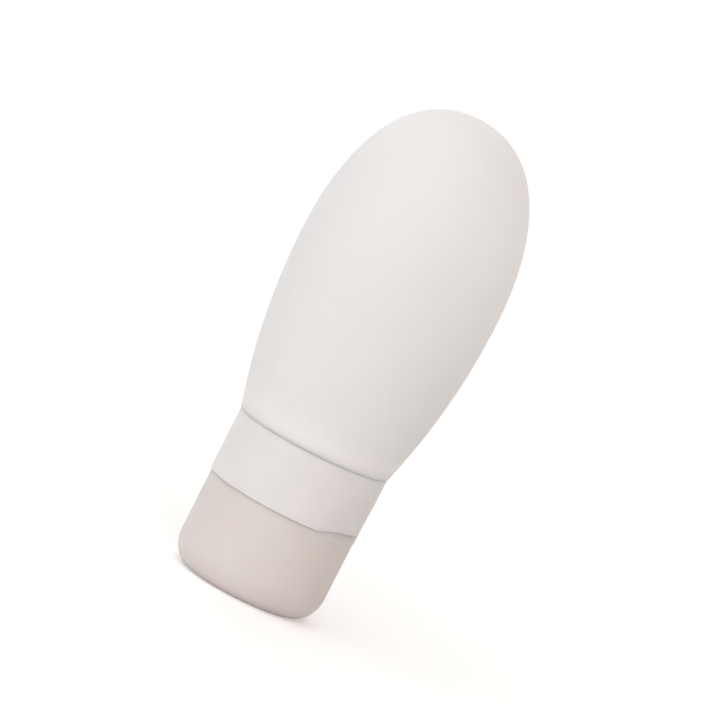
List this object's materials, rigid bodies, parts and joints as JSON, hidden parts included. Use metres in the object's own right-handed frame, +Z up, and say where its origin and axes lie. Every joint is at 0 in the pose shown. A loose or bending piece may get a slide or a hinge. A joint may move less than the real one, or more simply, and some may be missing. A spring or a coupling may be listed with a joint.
{
  "type": "travel squeeze bottle",
  "caption": "Soft domed squeeze bottle that stands on a frosted flip lid, with a plain screw collar, a tapered spout with a drip valve, and a thumb lip under a shallow scoop.",
  "frame": {"origin": "centre of the lid's flat face, on which the closed bottle stands", "axes": "+Z up the bottle's axis to the dome; +X towards the thumb lip; the hinge is on -X and its axis runs along Y"},
  "size_m": [0.0484, 0.0482, 0.118],
  "materials": {
    "soft_silicone": "satin translucent white silicone",
    "white_plastic": "fine satin moulded polypropylene",
    "seal_silicone": "clear milky silicone",
    "frosted_plastic": "frosted natural polypropylene",
    "pin_steel": "drawn stainless steel"
  },
  "bodies": {
    "bottle": {"squeeze_body": "soft_silicone", "neck_ring": "white_plastic"},
    "seal": {"gasket": "seal_silicone"},
    "cap": {"collar": "white_plastic", "drip_valve": "seal_silicone", "valve_retainer": "white_plastic", "hinge_pin": "pin_steel"},
    "flip_lid": {"lid": "frosted_plastic"}
  },
  "joints": [
    {"name": "cap_slide", "type": "slide", "parent": "bottle", "child": "seal", "axis": [0, 0, -1], "range_m": [0, 0.0048]},
    {"name": "cap_turn", "type": "hinge", "parent": "seal", "child": "cap", "pos_m": [0, 0, 0], "axis": [0, 0, -1], "range_deg": [0, 540]},
    {"name": "lid_hinge", "type": "hinge", "parent": "cap", "child": "flip_lid", "pos_m": [-0.01675, 0, 0.02187], "axis": [0, 1, 0], "range_deg": [0, 115]}
  ],
  "couplings": [
    {"joint": "cap_slide", "follows": "cap_turn", "m_per_rad": 0.0005093}
  ]
}
